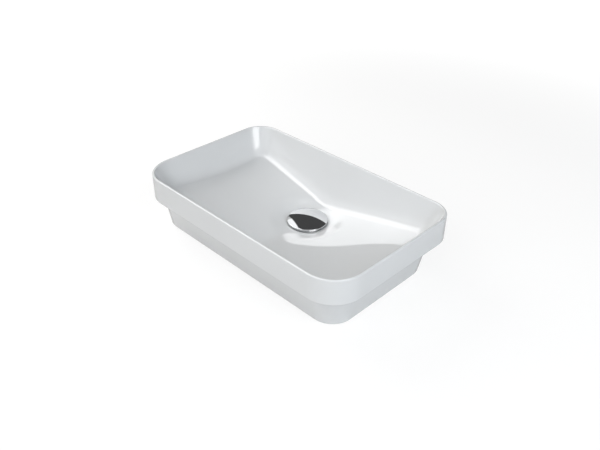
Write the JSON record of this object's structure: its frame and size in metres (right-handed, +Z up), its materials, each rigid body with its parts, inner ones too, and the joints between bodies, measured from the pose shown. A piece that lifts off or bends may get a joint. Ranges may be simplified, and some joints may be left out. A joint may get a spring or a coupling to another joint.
{
  "type": "countertop basin",
  "caption": "Rectangular semi-inset basin with a thin rim, a stepped body, a bowl that falls to the waste and a push-open waste plug.",
  "frame": {"origin": "middle of the worktop seat under the rim, level with the top of the worktop", "axes": "+X along the basin, +Y to its back, where the waste lies, +Z up"},
  "size_m": [0.5, 0.31, 0.152],
  "materials": {
    "ceramic": "white gloss glaze",
    "chrome": "polished chrome plate",
    "brass": "turned brass",
    "rubber": "matt black rubber",
    "plastic": "natural white acetal",
    "steel": "stainless steel"
  },
  "bodies": {
    "basin": {"basin_body": "ceramic", "waste_body": "chrome", "flange_seal": "rubber", "cone_washer": "rubber", "slip_washer": "plastic", "lock_nut": "brass", "cartridge_barrel": "brass", "barrel_plug": "brass", "cam_sleeve": "plastic", "stem_seal": "rubber", "lift_spring": "steel"},
    "cap": {"plug_cap": "chrome", "cap_core": "plastic", "cap_seal": "rubber", "cap_stud": "steel", "plunger": "plastic", "index_rotor": "plastic"}
  },
  "joints": [
    {"name": "cap_lift", "type": "slide", "parent": "basin", "child": "cap", "axis": [0, 0, 1], "range_m": [0, 0.009], "deforming": ["lift_spring"]}
  ]
}
